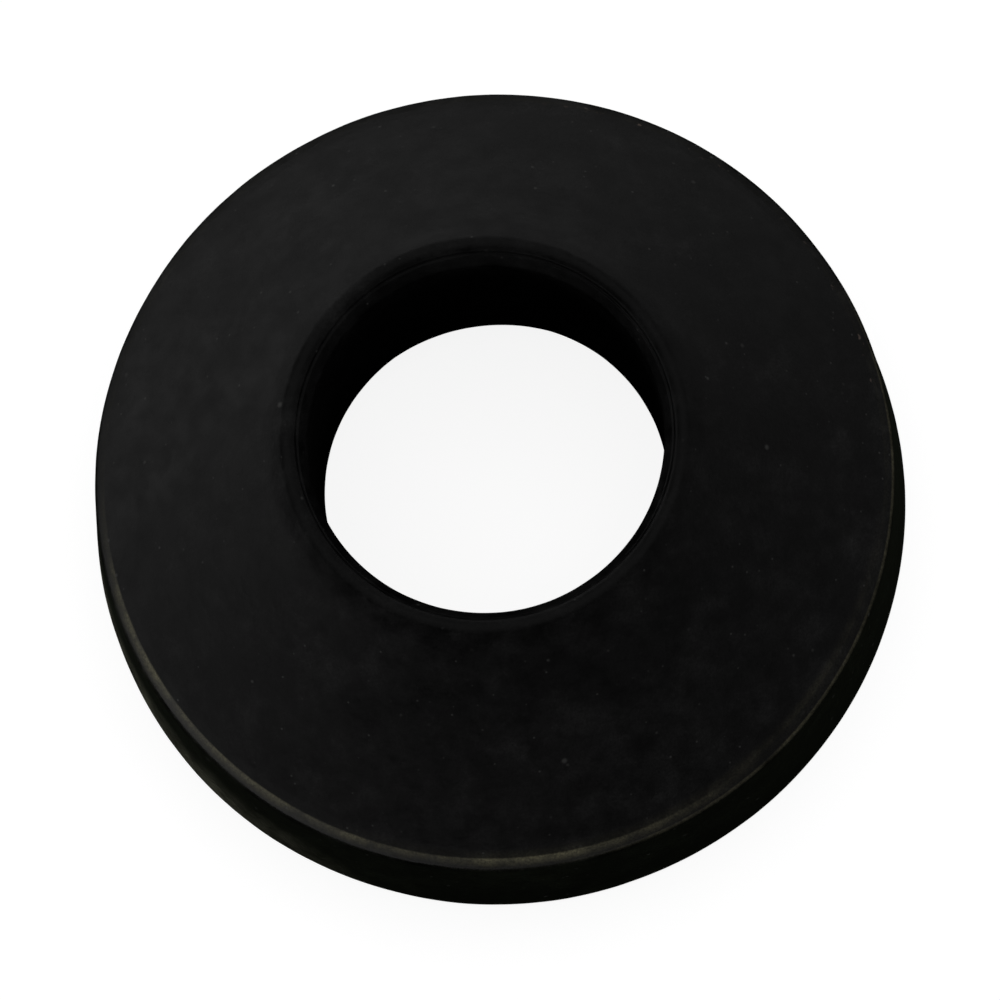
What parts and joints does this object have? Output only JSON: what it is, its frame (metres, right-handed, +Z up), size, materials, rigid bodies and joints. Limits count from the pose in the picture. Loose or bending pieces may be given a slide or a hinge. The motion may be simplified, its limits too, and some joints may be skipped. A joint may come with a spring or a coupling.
{
  "type": "rubber drain adapter",
  "caption": "Round black rubber drain adapter: a flat base and steep side wall under a long conical seat, with a through bore that grips a waste pipe.",
  "frame": {"origin": "centre of the flat base, on the surface that the part stands on", "axes": "+Z up along the bore's axis and out of the nose; X and Y are free, because the part is a body of revolution"},
  "size_m": [0.0822, 0.0822, 0.03],
  "materials": {
    "black_rubber": "dull moulded black rubber, lightly dusty"
  },
  "bodies": {
    "root": {"adapter_body": "black_rubber"}
  },
  "joints": []
}
